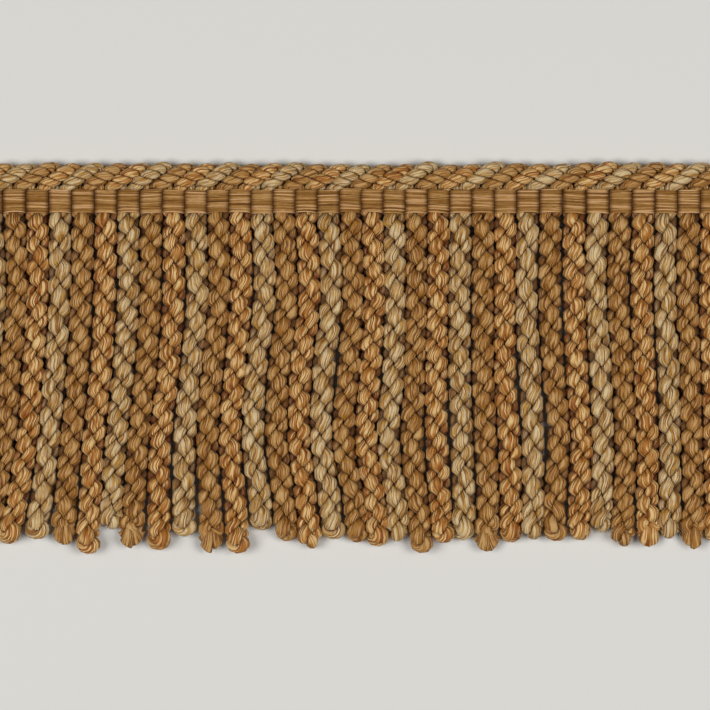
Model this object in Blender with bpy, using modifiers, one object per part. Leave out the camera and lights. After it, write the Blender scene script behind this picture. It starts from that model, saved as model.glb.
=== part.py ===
"""A cut length of bullion fringe, lying face up on a level surface.

Three yarn cords, gold, rust and cream, are laid side by side in turn. Each one is a single
continuous cord: it hangs as a bullion, which is the cord doubled back and twisted on itself,
goes up inside a rib of the woven band, leans to the right over the top edge of the heading,
and comes down behind into the rib of its next bullion, three ribs along. The band is a
warp-faced tape whose warps bulge over every cord and dip between them.

The origin is the middle of the back of the band. +X runs along the fringe, +Y goes up towards
the corded edge, and +Z comes out of the face. Everything rests on the plane Z = 0.
"""

import math

import bmesh
import bpy

MM = 0.001

# Driving sizes of the fringe, in metres.
RIB_PITCH = 7.0 * MM
BAND_HEIGHT = 7.4 * MM
CORD_RADIUS = 1.75 * MM
BULLION_RADIUS = 3.2 * MM
CLEARANCE = 0.3 * MM

# How the cord's section is drawn: a rhombus whose long corners are the two strands.
STRAND_VALLEY = 0.74
RINGS_PER_LAY = 6

# One row for each ring of a bullion's rounded tip, where the cord doubles back: millimetres
# above the tip, and the share of the bullion's radius.
TIP = (
    # up, radius_share
    (0.0, 0.45),
    (0.7, 0.80),
    (2.4, 1.00),
)
TIP_LENGTH = 4.0
NECK_LENGTH = 0.8
NECK_SHARE = 0.80

COLOURS = ("cream", "gold", "rust")
YARN_FINISH = {
    "cream": (0.52, 0.37, 0.19),
    "gold": (0.38, 0.22, 0.075),
    "rust": (0.46, 0.21, 0.075),
}
BAND_FINISH = (0.40, 0.25, 0.085)
YARN_ROUGHNESS = 0.62

# The heights below the band, in millimetres, at which each bullion's sideways sway is given.
SWAY_DEPTHS = (0.0, 27.0, 49.0, 70.5, 89.0)

# One row for each bullion, from the left, all in millimetres: its drop below the band, its sway
# to the right at the last four depths and at its tip, the length of one turn of its twist, and
# the depth at which its two strands first cross in front.
BULLIONS = (
    # drop, sway_27, sway_49, sway_70, sway_89, sway_tip, lay, cross
    (100.0, 1.6, -0.7, -2.2, -5.0, -7.2, 19.4, 9.4),
    (102.0, 1.4, -0.8, -2.3, -5.2, -7.9, 17.5, 7.2),
    (102.5, 0.8, -0.7, -2.5, -5.6, -8.6, 17.2, 7.8),
    (101.0, 0.5, -0.9, -2.8, -5.0, -7.4, 20.3, 10.6),
    (102.8, 0.3, -0.9, -2.8, -4.5, -5.2, 17.7, 6.5),
    (105.6, 0.6, -0.6, -2.8, -3.9, -5.0, 17.7, 7.9),
    (98.2, 0.9, -0.6, -2.8, -4.2, -4.6, 17.5, 9.0),
    (103.8, 0.6, -0.6, -3.1, -4.2, -5.2, 17.3, 9.0),
    (104.4, 1.0, -0.7, -3.1, -3.6, -3.2, 17.2, 6.4),
    (100.0, 1.4, -0.6, -2.6, -2.8, -2.8, 19.3, 9.1),
    (105.0, 1.1, -1.1, -2.5, -1.7, -1.2, 18.0, 7.4),
    (105.3, 0.9, -0.9, -2.5, -0.9, 0.0, 17.2, 7.2),
    (98.2, 1.3, -1.5, -2.3, -0.2, 0.5, 19.3, 10.6),
    (101.6, 1.1, -1.2, -2.0, 0.2, 1.3, 17.5, 4.8),
    (104.1, 1.1, -1.5, -2.0, 0.2, 1.5, 17.5, 8.9),
    (101.0, 1.0, -1.4, -2.1, 0.5, 1.4, 19.5, 10.3),
    (101.9, 0.8, -0.6, -2.3, 1.0, 2.3, 16.9, 6.1),
    (103.2, 0.4, -1.0, -2.1, 0.5, 1.9, 16.4, 5.8),
    (101.9, -0.2, -0.7, -2.3, 0.1, 1.2, 18.8, 9.2),
    (105.3, -0.7, -1.1, -1.9, -0.3, 1.1, 17.4, 8.3),
    (102.2, -0.9, -1.5, -1.2, -0.3, 0.8, 16.8, 6.7),
    (101.3, -1.2, -1.2, -0.4, 0.1, 0.2, 18.8, 10.5),
    (105.0, -0.9, -0.9, 0.0, 0.6, 0.3, 17.6, 9.8),
    (102.2, -1.1, -1.1, 0.2, 0.8, 1.0, 17.2, 6.3),
    (101.3, -1.5, -0.3, 0.6, 0.6, 0.4, 20.5, 8.9),
    (101.6, -1.2, 0.0, 1.7, 0.4, 0.3, 17.7, 8.2),
    (101.6, -0.5, 0.3, 1.7, 1.1, 1.3, 16.7, 7.3),
    (99.1, -0.9, 0.7, 1.3, 1.0, 0.6, 19.7, 8.4),
    (103.5, -1.0, 0.5, 1.4, 0.8, 0.5, 17.2, 7.5),
    (103.5, -0.6, 0.3, 1.2, 1.2, 1.8, 17.5, 8.9),
    (101.0, -0.3, 0.8, 1.2, 1.2, 1.1, 20.7, 10.1),
    (103.8, -0.5, 0.5, 1.0, 1.5, 1.3, 17.6, 7.0),
    (101.9, -0.3, 0.3, 0.9, 1.2, 1.0, 17.1, 7.0),
)

# The band's section over one rib, from its left groove.
BAND_CREST = 6.2 * MM
BAND_GROOVE = 5.2 * MM
RIB_SHOULDER = 0.35 * MM
RIB_CROWN = 1.5 * MM
TUNNEL_LOW = 1.9 * MM
TUNNEL_HIGH = 4.5 * MM
TUNNEL_WIDTH = 5.6 * MM

# Where the cord runs inside its rib, and the neck by which the bullion hangs from it.
RISER_RADIUS = 1.0 * MM
RISER_LEVEL = (TUNNEL_LOW + TUNNEL_HIGH) / 2
RISER_STEP = 1.2 * MM
RISER_SEAT = 0.2 * MM

# One row for each point of the lean over the top edge: millimetres to the right of the rib's
# middle, above the band's top edge and above the surface, and the share of the cord's radius.
LEAN = (
    # right, up, level, radius_share
    (0.0, 0.2, 3.2, 0.57),
    (0.6, 1.7, 4.5, 0.72),
    (2.2, 2.7, 5.9, 0.97),
    (4.4, 4.2, 6.2, 1.00),
    (6.8, 5.8, 6.0, 0.97),
    (9.0, 6.8, 5.0, 0.95),
    (10.9, 6.9, 3.4, 0.95),
    (12.8, 5.9, 2.1, 0.97),
    (15.0, 4.1, 1.85, 1.00),
    (17.1, 2.4, 1.95, 0.92),
    (18.9, 1.1, 2.9, 0.62),
    (19.8, -0.6, 3.2, 0.54),
    (20.8, -2.6, 3.2, 0.50),
)


def clear_scene():
    for item in list(bpy.data.objects):
        bpy.data.objects.remove(item, do_unlink=True)


def yarn_material(name, colour):
    material = bpy.data.materials.new(name)
    material.use_nodes = True
    shader = material.node_tree.nodes["Principled BSDF"]
    shader.inputs["Base Color"].default_value = (*colour, 1.0)
    shader.inputs["Roughness"].default_value = YARN_ROUGHNESS
    shader.inputs["Metallic"].default_value = 0.0
    material.diffuse_color = (*colour, 1.0)
    return material


def link(collection, item):
    collection.objects.link(item)
    return item


def rib_centre(index):
    """X of the middle of a rib. The ribs are counted from the left and centred on the origin."""
    return (index - (len(BULLIONS) - 1) / 2) * RIB_PITCH


def smooth_value(stops, values, at):
    """The height at one place of a smooth curve through the stops (a cubic Hermite spline)."""
    slopes = []
    for i in range(len(stops)):
        low, high = max(i - 1, 0), min(i + 1, len(stops) - 1)
        slopes.append((values[high] - values[low]) / (stops[high] - stops[low]))
    i = 0
    while i < len(stops) - 2 and at > stops[i + 1]:
        i += 1
    span = stops[i + 1] - stops[i]
    t = min(max((at - stops[i]) / span, 0.0), 1.0)
    return (
        (2 * t**3 - 3 * t**2 + 1) * values[i]
        + (t**3 - 2 * t**2 + t) * span * slopes[i]
        + (3 * t**2 - 2 * t**3) * values[i + 1]
        + (t**3 - t**2) * span * slopes[i + 1]
    )


def strand_turn(index, depth):
    """How far the two strands have turned at a depth: none where they first cross in front."""
    *_, lay, cross = BULLIONS[index % len(BULLIONS)]
    return 2 * math.pi * (depth - cross) / lay


def bullion_points(index):
    """The rings of one bullion from its tip up to its neck, as (place, radius, turn)."""
    drop, *sways, lay, _ = BULLIONS[index]
    stops = [*SWAY_DEPTHS, drop]
    values = [0.0, *sways]
    ring_gap = lay / RINGS_PER_LAY
    top = CLEARANCE / MM
    rings = [(drop - up, share) for up, share in TIP]
    level = math.floor((drop - TIP_LENGTH - top) / ring_gap)
    rings += [(top + i * ring_gap, 1.0) for i in range(level, 0, -1)]
    rings += [(top + NECK_LENGTH, 1.0), (top, NECK_SHARE)]
    points = []
    for depth, share in rings:
        place = (
            rib_centre(index) + smooth_value(stops, values, depth - top) * MM,
            -BAND_HEIGHT / 2 - depth * MM,
            BULLION_RADIUS,
        )
        points.append((place, share * BULLION_RADIUS, strand_turn(index, depth)))
    return points


def riser_points(index):
    """The cord inside its rib, from the bullion's shoulder to the top edge of the band."""
    x = rib_centre(index)
    low = -BAND_HEIGHT / 2 - RISER_SEAT
    high = BAND_HEIGHT / 2 - RISER_STEP
    turn = strand_turn(index, 0)
    return [((x, y, RISER_LEVEL), RISER_RADIUS, turn) for y in (low, low + RISER_STEP, high)]


def lean_points(index):
    """The cord's lean to the right over the top edge, and down behind to the third rib along."""
    x = rib_centre(index)
    points = []
    for step, (right, up, level, share) in enumerate(LEAN):
        place = (x + right * MM, BAND_HEIGHT / 2 + up * MM, level * MM)
        points.append((place, share * CORD_RADIUS, strand_turn(index, 0) - step * math.pi / 4))
    return points


def clipped(points, low, high):
    """The stretch of a cord between two cuts square to X, with its ends moved onto the cuts."""

    def between(a, b, x):
        t = (x - a[0][0]) / (b[0][0] - a[0][0])
        place = tuple(p + (q - p) * t for p, q in zip(a[0], b[0]))
        return (place, a[1] + (b[1] - a[1]) * t, a[2] + (b[2] - a[2]) * t)

    kept = []
    for i, point in enumerate(points):
        inside = low <= point[0][0] <= high
        if i and inside != (low <= points[i - 1][0][0] <= high):
            cut = low if min(point[0][0], points[i - 1][0][0]) < low else high
            kept.append(between(points[i - 1], point, cut))
        if inside:
            kept.append(point)
    return kept


def section_profile():
    """The section that is swept along every cord: a rhombus one unit across its long corners."""
    data = bpy.data.curves.new("cord_section", "CURVE")
    data.dimensions = "2D"
    spline = data.splines.new("POLY")
    corners = ((1, 0), (0, STRAND_VALLEY), (-1, 0), (0, -STRAND_VALLEY))
    spline.points.add(len(corners) - 1)
    for point, (x, y) in zip(spline.points, corners):
        point.co = (x, y, 0, 1)
    spline.use_cyclic_u = True
    profile = bpy.data.objects.new("cord_section", data)
    profile.hide_render = True
    profile.display_type = "WIRE"
    return profile


def swept_cord(name, points, profile, collection):
    """A closed mesh: the section swept along the points, with each point's radius and turn."""
    data = bpy.data.curves.new(name, "CURVE")
    data.dimensions = "3D"
    data.twist_mode = "Z_UP"
    data.bevel_mode = "OBJECT"
    data.bevel_object = profile
    data.use_fill_caps = True
    spline = data.splines.new("POLY")
    spline.points.add(len(points) - 1)
    for target, (place, radius, turn) in zip(spline.points, points):
        target.co = (*place, 1)
        target.radius = radius
        target.tilt = turn
    guide = link(collection, bpy.data.objects.new(name + "_guide", data))
    bpy.context.view_layer.update()
    graph = bpy.context.evaluated_depsgraph_get()
    mesh = bpy.data.meshes.new_from_object(guide.evaluated_get(graph))
    cord = link(collection, bpy.data.objects.new(name, mesh))
    cord.matrix_world = guide.matrix_world
    bpy.data.objects.remove(guide, do_unlink=True)
    shape = bmesh.new()
    shape.from_mesh(mesh)
    bmesh.ops.remove_doubles(shape, verts=shape.verts, dist=0.001 * MM)
    bmesh.ops.recalc_face_normals(shape, faces=shape.faces)
    bmesh.ops.triangulate(shape, faces=shape.faces)
    shape.to_mesh(mesh)
    shape.free()
    return cord


def continuous_cord(colour, parts, profile):
    """Every bullion of one colour, joined through the band and over the top edge of the heading."""
    count, step = len(BULLIONS), len(COLOURS)
    first = COLOURS.index(colour)
    left = rib_centre(0) - RIB_PITCH / 2
    right = rib_centre(count - 1) + RIB_PITCH / 2
    lengths = []
    for index in range(first - step, count, step):
        name = f"{colour}_length_{index + step:02d}"
        if index < 0:
            points = clipped(lean_points(index), left, right)
        else:
            over = clipped(lean_points(index), left, right)
            points = bullion_points(index) + riser_points(index) + over
        lengths.append(swept_cord(name, points, profile, parts))
    cord = lengths[0]
    cord.name = cord.data.name = "cord_" + colour
    others = bpy.data.collections.new(colour + "_lengths")
    for other in lengths[1:]:
        parts.objects.unlink(other)
        others.objects.link(other)
    bpy.context.scene.collection.children.link(others)
    union = cord.modifiers.new("one_cord", "BOOLEAN")
    union.operation = "UNION"
    union.operand_type = "COLLECTION"
    union.collection = others
    bpy.context.view_layer.update()
    graph = bpy.context.evaluated_depsgraph_get()
    joined = bpy.data.meshes.new_from_object(cord.evaluated_get(graph))
    cord.modifiers.clear()
    cord.data = joined
    for other in lengths[1:]:
        bpy.data.objects.remove(other, do_unlink=True)
    bpy.data.collections.remove(others)
    cord.data.materials.clear()
    cord.data.materials.append(yarn_material(colour + "_yarn", YARN_FINISH[colour]))
    return cord


def face_level(x):
    """Height of the band's face: flat over each rib's crown, and falling to its grooves."""
    half = RIB_PITCH / 2
    from_centre = abs((x - rib_centre(0) + half) % RIB_PITCH - half)
    stops = (0, RIB_CROWN, half - RIB_SHOULDER, half)
    levels = (BAND_CREST, BAND_CREST, (BAND_GROOVE + BAND_CREST) / 2, BAND_GROOVE)
    for i in range(3):
        if from_centre <= stops[i + 1] + 0.01 * MM:
            share = min((from_centre - stops[i]) / (stops[i + 1] - stops[i]), 1)
            return levels[i] + share * (levels[i + 1] - levels[i])
    return BAND_GROOVE


def tunnel_cutter(cutters):
    """One box for each rib, through the band from edge to edge, where the cord runs."""
    bpy.ops.mesh.primitive_cube_add(size=1)
    cutter = bpy.context.active_object
    cutter.name = "tunnel_cutter"
    for owner in list(cutter.users_collection):
        owner.objects.unlink(cutter)
    cutters.objects.link(cutter)
    for vertex in cutter.data.vertices:
        vertex.co.x = rib_centre(0) + vertex.co.x * TUNNEL_WIDTH
        vertex.co.y *= BAND_HEIGHT * 2
        vertex.co.z = RISER_LEVEL + vertex.co.z * (TUNNEL_HIGH - TUNNEL_LOW)
    repeat = cutter.modifiers.new("every_rib", "ARRAY")
    repeat.count = len(BULLIONS)
    repeat.use_relative_offset = False
    repeat.use_constant_offset = True
    repeat.constant_offset_displace = (RIB_PITCH, 0, 0)
    cutter.hide_render = True
    cutter.display_type = "WIRE"
    return cutter


def woven_band(parts, cutters):
    """The warp-faced tape: a flat-backed block with ribs across its face, and a tunnel in each."""
    count = len(BULLIONS)
    shape = bmesh.new()
    bmesh.ops.create_cube(shape, size=1)
    for vertex in shape.verts:
        vertex.co.x *= count * RIB_PITCH
        vertex.co.y *= BAND_HEIGHT
        vertex.co.z = (vertex.co.z + 0.5) * BAND_CREST
    fold_lines = (0, RIB_SHOULDER, RIB_PITCH / 2 - RIB_CROWN, RIB_PITCH / 2 + RIB_CROWN)
    for index in range(count):
        left = rib_centre(index) - RIB_PITCH / 2
        for across in (*fold_lines, RIB_PITCH - RIB_SHOULDER):
            everything = [*shape.verts, *shape.edges, *shape.faces]
            bmesh.ops.bisect_plane(
                shape, geom=everything, plane_co=(left + across, 0, 0), plane_no=(1, 0, 0)
            )
    for vertex in shape.verts:
        if vertex.co.z > BAND_GROOVE:
            vertex.co.z = face_level(vertex.co.x)
    bmesh.ops.recalc_face_normals(shape, faces=shape.faces)
    mesh = bpy.data.meshes.new("woven_band")
    shape.to_mesh(mesh)
    shape.free()
    band = link(parts, bpy.data.objects.new("woven_band", mesh))
    cut = band.modifiers.new("tunnels", "BOOLEAN")
    cut.operation = "DIFFERENCE"
    cut.object = tunnel_cutter(cutters)
    band.data.materials.append(yarn_material("band_yarn", BAND_FINISH))
    return band


def main():
    clear_scene()
    parts = bpy.data.collections.new("bullion_fringe")
    cutters = bpy.data.collections.new("cutters")
    bpy.context.scene.collection.children.link(parts)
    bpy.context.scene.collection.children.link(cutters)
    profile = link(cutters, section_profile())
    for colour in COLOURS:
        continuous_cord(colour, parts, profile)
    bpy.data.objects.remove(profile, do_unlink=True)
    woven_band(parts, cutters)


main()
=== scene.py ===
# %% [markdown]
# # A cut length of bullion fringe
# Bullion fringe is the heavy corded edging of sofas, curtains and cushions. Three yarn cords,
# cream, gold and rust, take turns. Each one hangs down as a bullion, which is the cord doubled
# back and twisted on itself, then runs up inside a narrow woven band, leans over the top edge
# and comes down behind into its next bullion. Here the fringe lies face up on a pale table and
# is seen from straight above.
#
# The solids of the frame settle where everything lies. This lesson dresses them: every ply of
# every cord and every warp thread of the band is worked out as a surface.

# %% Load the frame
import math

import bpy
import numpy as np
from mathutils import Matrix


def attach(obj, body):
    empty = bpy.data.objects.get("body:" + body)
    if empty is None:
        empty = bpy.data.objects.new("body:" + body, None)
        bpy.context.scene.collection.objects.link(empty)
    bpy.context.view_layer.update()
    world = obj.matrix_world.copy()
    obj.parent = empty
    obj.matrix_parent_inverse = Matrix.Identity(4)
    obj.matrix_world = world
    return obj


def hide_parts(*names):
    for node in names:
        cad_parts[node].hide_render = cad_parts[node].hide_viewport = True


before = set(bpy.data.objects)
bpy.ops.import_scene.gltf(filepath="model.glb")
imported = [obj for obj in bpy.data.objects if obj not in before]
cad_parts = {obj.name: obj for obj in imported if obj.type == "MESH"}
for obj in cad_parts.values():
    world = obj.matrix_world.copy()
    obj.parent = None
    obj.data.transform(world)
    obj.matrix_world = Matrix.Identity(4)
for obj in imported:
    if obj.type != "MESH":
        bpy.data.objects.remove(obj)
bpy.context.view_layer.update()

# %% [markdown]
# ## The sizes that everything follows
# A trimming is worked out from its pitch: one cord every 7 mm. A cord is two plies twisted one
# way, and a bullion is two lengths of that cord twisted the other way, which is why it does not
# untwist. Every bullion was laid down by hand, so each has its own drop, its own sideways sway,
# its own tightness of twist and its own end, and a short table holds them. A second table says
# how far the band strays from even.

# %% Name the sizes
MM = 0.001
RIB_PITCH = 7.0 * MM
BAND_HEIGHT = 7.4 * MM
PLY_WIDE = 2.25 * MM  # half the width of a pressed ply, across the cord
PLY_DEEP = 1.68 * MM  # half its depth, outwards
PLY_OFFSET = 0.94 * MM  # from the middle of a cord to the middle of its plies
STRAND_OFFSET = 1.42 * MM  # from the middle of a bullion to the middle of its two strands
BULLION_RADIUS = STRAND_OFFSET + PLY_OFFSET + PLY_DEEP
BULLION_LEVEL = 3.5 * MM  # the height of a bullion's middle above the table
LYING_FLAT = 0.93  # a cord that lies down is this much lower than it is wide
SOFT_HEIGHT = 1.3 * MM  # yarn that lies lower than this is flattened by its own weight
HALF_WIDTH = 3.42 * MM  # of a bullion, to the outermost ply on either side
EVENNESS = 0.75  # 1 would make its edges straight, 0 leaves every ply where it falls
FAN_LENGTH = 3.6 * MM  # how far the loose tufts of a fan reach below its last twist
LOBES_PER_CROSSING = 3  # plies that show between one crossing of the strands and the next
COLOURS = ("cream", "gold", "rust")
SWAY_DEPTHS = (0.0, 27.0, 49.0, 70.5, 89.0)
BULLIONS = (
    # drop, sway_27, sway_49, sway_70, sway_89, sway_tip, lay, cross, end
    (100.0, 1.6, -0.7, -2.2, -5.0, -7.2, 19.4, 9.4, "bun"),
    (102.0, 1.4, -0.8, -2.3, -5.2, -7.9, 17.5, 7.2, "fan"),
    (102.5, 0.8, -0.7, -2.5, -5.6, -8.6, 17.2, 7.8, "wide"),
    (101.0, 0.5, -0.9, -2.8, -5.0, -7.4, 20.3, 10.6, "wide"),
    (102.8, 0.3, -0.9, -2.8, -4.5, -5.2, 17.7, 6.5, "fan"),
    (105.6, 0.6, -0.6, -2.8, -3.9, -5.0, 17.7, 7.9, "wide"),
    (98.2, 0.9, -0.6, -2.8, -4.2, -4.6, 17.5, 9.0, "narrow"),
    (103.8, 0.6, -0.6, -3.1, -4.2, -5.2, 17.3, 9.0, "fan"),
    (104.4, 1.0, -0.7, -3.1, -3.6, -3.2, 17.2, 6.4, "wide"),
    (100.0, 1.4, -0.6, -2.6, -2.8, -2.8, 19.3, 9.1, "wide"),
    (105.0, 1.1, -1.1, -2.5, -1.7, -1.2, 18.0, 7.4, "fan"),
    (105.3, 0.9, -0.9, -2.5, -0.9, 0.0, 17.2, 7.2, "wide"),
    (98.2, 1.3, -1.5, -2.3, -0.2, 0.5, 19.3, 10.6, "bun"),
    (101.6, 1.1, -1.2, -2.0, 0.2, 1.3, 17.5, 4.8, "bun"),
    (104.1, 1.1, -1.5, -2.0, 0.2, 1.5, 17.5, 8.9, "narrow"),
    (101.0, 1.0, -1.4, -2.1, 0.5, 1.4, 19.5, 10.3, "wide"),
    (101.9, 0.8, -0.6, -2.3, 1.0, 2.3, 16.9, 6.1, "bun"),
    (103.2, 0.4, -1.0, -2.1, 0.5, 1.9, 16.4, 5.8, "wide"),
    (101.9, -0.2, -0.7, -2.3, 0.1, 1.2, 18.8, 9.2, "narrow"),
    (105.3, -0.7, -1.1, -1.9, -0.3, 1.1, 17.4, 8.3, "wide"),
    (102.2, -0.9, -1.5, -1.2, -0.3, 0.8, 16.8, 6.7, "wide"),
    (101.3, -1.2, -1.2, -0.4, 0.1, 0.2, 18.8, 10.5, "wide"),
    (105.0, -0.9, -0.9, 0.0, 0.6, 0.3, 17.6, 9.8, "fan"),
    (102.2, -1.1, -1.1, 0.2, 0.8, 1.0, 17.2, 6.3, "bun"),
    (101.3, -1.5, -0.3, 0.6, 0.6, 0.4, 20.5, 8.9, "narrow"),
    (101.6, -1.2, 0.0, 1.7, 0.4, 0.3, 17.7, 8.2, "wide"),
    (101.6, -0.5, 0.3, 1.7, 1.1, 1.3, 16.7, 7.3, "bun"),
    (99.1, -0.9, 0.7, 1.3, 1.0, 0.6, 19.7, 8.4, "narrow"),
    (103.5, -1.0, 0.5, 1.4, 0.8, 0.5, 17.2, 7.5, "narrow"),
    (103.5, -0.6, 0.3, 1.2, 1.2, 1.8, 17.5, 8.9, "fan"),
    (101.0, -0.3, 0.8, 1.2, 1.2, 1.1, 20.7, 10.1, "narrow"),
    (103.8, -0.5, 0.5, 1.0, 1.5, 1.3, 17.6, 7.0, "fan"),
    (101.9, -0.3, 0.3, 0.9, 1.2, 1.0, 17.1, 7.0, "bun"),
)
COUNT = len(BULLIONS)
BAND_DRIFT = (
    # place along the band, and how far it lies to the right of even there, in mm
    (-115.0, 0.3),
    (-101.0, 0.7),
    (-59.0, 1.05),
    (-31.0, 0.5),
    (-10.0, 0.1),
    (18.0, -0.6),
    (56.0, -0.95),
    (74.0, -0.45),
    (95.0, 0.0),
)


def rib_centre(index):
    """X of the middle of a rib: the ribs are centred on the origin."""
    return (index - (COUNT - 1) / 2) * RIB_PITCH


print(COUNT, "bullions,", COUNT // 3, "repeats, a band of", round(COUNT * RIB_PITCH * 1000), "mm")

# %% [markdown]
# ## Smooth curves and gentle unevenness
# Yarn never bends sharply, so every path is a smooth curve through a few chosen places. Hand
# work is never even either, so a few slow waves with seeded phases are laid over radii and
# twists. Yarn that lies low flattens against the table under its own weight. All of this is
# plain array arithmetic.

# %% Curves and waves
def smooth_curve(stops, values, at):
    """A cubic on each span between stops, its end slopes being those of the chords around.

    values may have one column or several. Outside the stops the curve keeps its end value.
    """
    stops = np.asarray(stops, float)
    values = np.asarray(values, float)
    flat = values.ndim == 1
    values = values.reshape(len(stops), -1)
    places = np.arange(len(stops))
    before = np.maximum(places - 1, 0)
    after = np.minimum(places + 1, len(stops) - 1)
    slopes = (values[after] - values[before]) / (stops[after] - stops[before])[:, None]
    i = np.clip(np.searchsorted(stops, at) - 1, 0, len(stops) - 2)
    span = (stops[i + 1] - stops[i])[:, None]
    t = np.clip((at - stops[i])[:, None] / span, 0, 1)
    curve = (
        (2 * t**3 - 3 * t**2 + 1) * values[i]
        + (t**3 - 2 * t**2 + t) * span * slopes[i]
        + (3 * t**2 - 2 * t**3) * values[i + 1]
        + (t**3 - t**2) * span * slopes[i + 1]
    )
    return curve[:, 0] if flat else curve


def ease(at, start, end):
    """0 before start, 1 after end, and 3t² - 2t³ between them."""
    t = np.clip((at - start) / (end - start), 0, 1)
    return t * t * (3 - 2 * t)


def waves(at, seed, lengths=(0.011, 0.019, 0.037)):
    """A sum of sines of the given wavelengths with seeded phases, within about -1 to 1."""
    phases = np.random.default_rng(seed).uniform(0, 2 * math.pi, len(lengths))
    parts = [np.sin(2 * math.pi * at / length + p) for length, p in zip(lengths, phases)]
    return np.sum(parts, axis=0) / len(lengths)


def unit(vectors):
    """Vectors of length one in the same directions."""
    return vectors / np.linalg.norm(vectors, axis=-1, keepdims=True)


def even_turns(sides):
    """0, 1/sides, 2/sides and so on, up to 1."""
    return np.arange(sides + 1) / sides


def drift(x):
    """How far the band lies to the right of even at these places along it."""
    stops, values = np.array(BAND_DRIFT).T * MM
    return smooth_curve(stops, values, np.ravel(x)).reshape(np.shape(x))


def rested(z):
    """z, but soft · exp(z / soft - 1) below the soft height, so nothing sinks into the table."""
    return np.where(z > SOFT_HEIGHT, z, SOFT_HEIGHT * np.exp(np.minimum(z / SOFT_HEIGHT - 1, 0)))


print("wave sample:", waves(np.linspace(0, 0.02, 5), seed=1).round(2))

# %% [markdown]
# ## From a grid of points to a mesh
# Every thread here is a tube, so one helper serves all of them. It takes points on a grid with
# three counts: tubes, rings along each tube, and sides round each ring. It joins neighbours
# into quads, closes both ends, and stores three things for the finish: a map whose first number
# is the place round the yarn and whose second is the length along it, a value that says how
# deep in a hollow each point lies, which is painted as shade, and one that makes a whole yarn
# paler or darker.

# %% Tubes from grids
def tubes_mesh(name, grid, around, along, hollow, shade=0.0):
    """Joins grid[tube, ring, side] into closed tubes, as one object.

    A quad takes ring r and r + 1 and side s and s + 1, with the last side joined to the first.
    around[tube, ring, side] is a point's place round the yarn in turns, with the first side's
    again, plus one, after the last. along[tube, ring] is its length in mm. hollow and shade are
    numbers for every point.
    """
    tubes, rings, sides, _ = grid.shape
    tube, ring, side = np.meshgrid(
        np.arange(tubes), np.arange(rings - 1), np.arange(sides), indexing="ij"
    )
    across = (side + 1) % sides

    def point(r, s):
        return (tube * rings + r) * sides + s

    quads = np.stack(
        [point(ring, side), point(ring + 1, side), point(ring + 1, across), point(ring, across)], -1
    )
    rings_of = np.stack([ring, ring + 1, ring + 1, ring], -1)
    sides_of = np.stack([side, side, side + 1, side + 1], -1)
    u = around[tube[..., None], rings_of, sides_of]
    v = along[tube[..., None], rings_of] / 100
    first = np.arange(tubes)[:, None] * rings * sides + np.arange(sides)
    last = first[:, ::-1] + (rings - 1) * sides
    caps = np.concatenate([first, last])
    corners = np.concatenate([quads.ravel(), caps.ravel()])
    cap_uv = np.zeros((caps.size, 2))
    uvs = np.concatenate([np.stack([u, v], -1).reshape(-1, 2), cap_uv])
    counts = np.concatenate([np.full(quads.size // 4, 4), np.full(len(caps), sides)])

    mesh = bpy.data.meshes.new(name)
    mesh.vertices.add(grid.size // 3)
    mesh.vertices.foreach_set("co", grid.astype(np.float32).ravel())
    mesh.loops.add(len(corners))
    mesh.loops.foreach_set("vertex_index", corners.astype(np.int32))
    mesh.polygons.add(len(counts))
    starts = np.concatenate([[0], np.cumsum(counts)[:-1]])
    mesh.polygons.foreach_set("loop_start", starts.astype(np.int32))
    mesh.update(calc_edges=True)
    mesh.uv_layers.new(name="Yarn").data.foreach_set("uv", uvs.astype(np.float32).ravel())
    for label, values in (("Hollow", hollow), ("Shade", shade)):
        values = np.broadcast_to(values, grid.shape[:3]).astype(np.float32).ravel()
        mesh.attributes.new(label, "FLOAT", "POINT").data.foreach_set("value", values)
    mesh.shade_smooth()
    piece = bpy.data.objects.new(name, mesh)
    bpy.context.scene.collection.objects.link(piece)
    return piece


def finish_piece(piece, material, node):
    """Gives a piece its material and its body, and hides the solid it replaces."""
    piece.data.materials.append(material)
    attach(piece, "root")
    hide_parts(node)


print("a tube of 12 sides and 400 rings has", 12 * 400 * 2, "triangles")

# %% [markdown]
# ## Colours of the yarn
# The yarn is spun viscose and cotton, dyed unevenly on purpose: within one ply some ends are
# pale, some golden and some brown, and each one changes slowly along its length. Colours are
# written as they look on a screen and turned to linear light by one function.

# %% Colours and a node helper
def linear(hex_colour):
    """sRGB hex to linear: c/12.92 below 0.04045, else ((c + 0.055)/1.055)^2.4."""
    parts = [int(hex_colour[i : i + 2], 16) / 255 for i in (1, 3, 5)]
    return tuple(c / 12.92 if c <= 0.04045 else ((c + 0.055) / 1.055) ** 2.4 for c in parts)


def add(tree, kind, settings=None, links=None):
    """Adds one node, sets its properties and inputs, and links sockets to its inputs.

    A node given instead of a socket stands for its first output.
    """
    node = tree.nodes.new(kind)
    for key, value in (settings or {}).items():
        if isinstance(key, int) or key in node.inputs:
            node.inputs[key].default_value = value
        else:
            setattr(node, key, value)
    for key, source in (links or {}).items():
        socket = source.outputs[0] if isinstance(source, bpy.types.Node) else source
        tree.links.new(socket, node.inputs[key])
    return node


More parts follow.
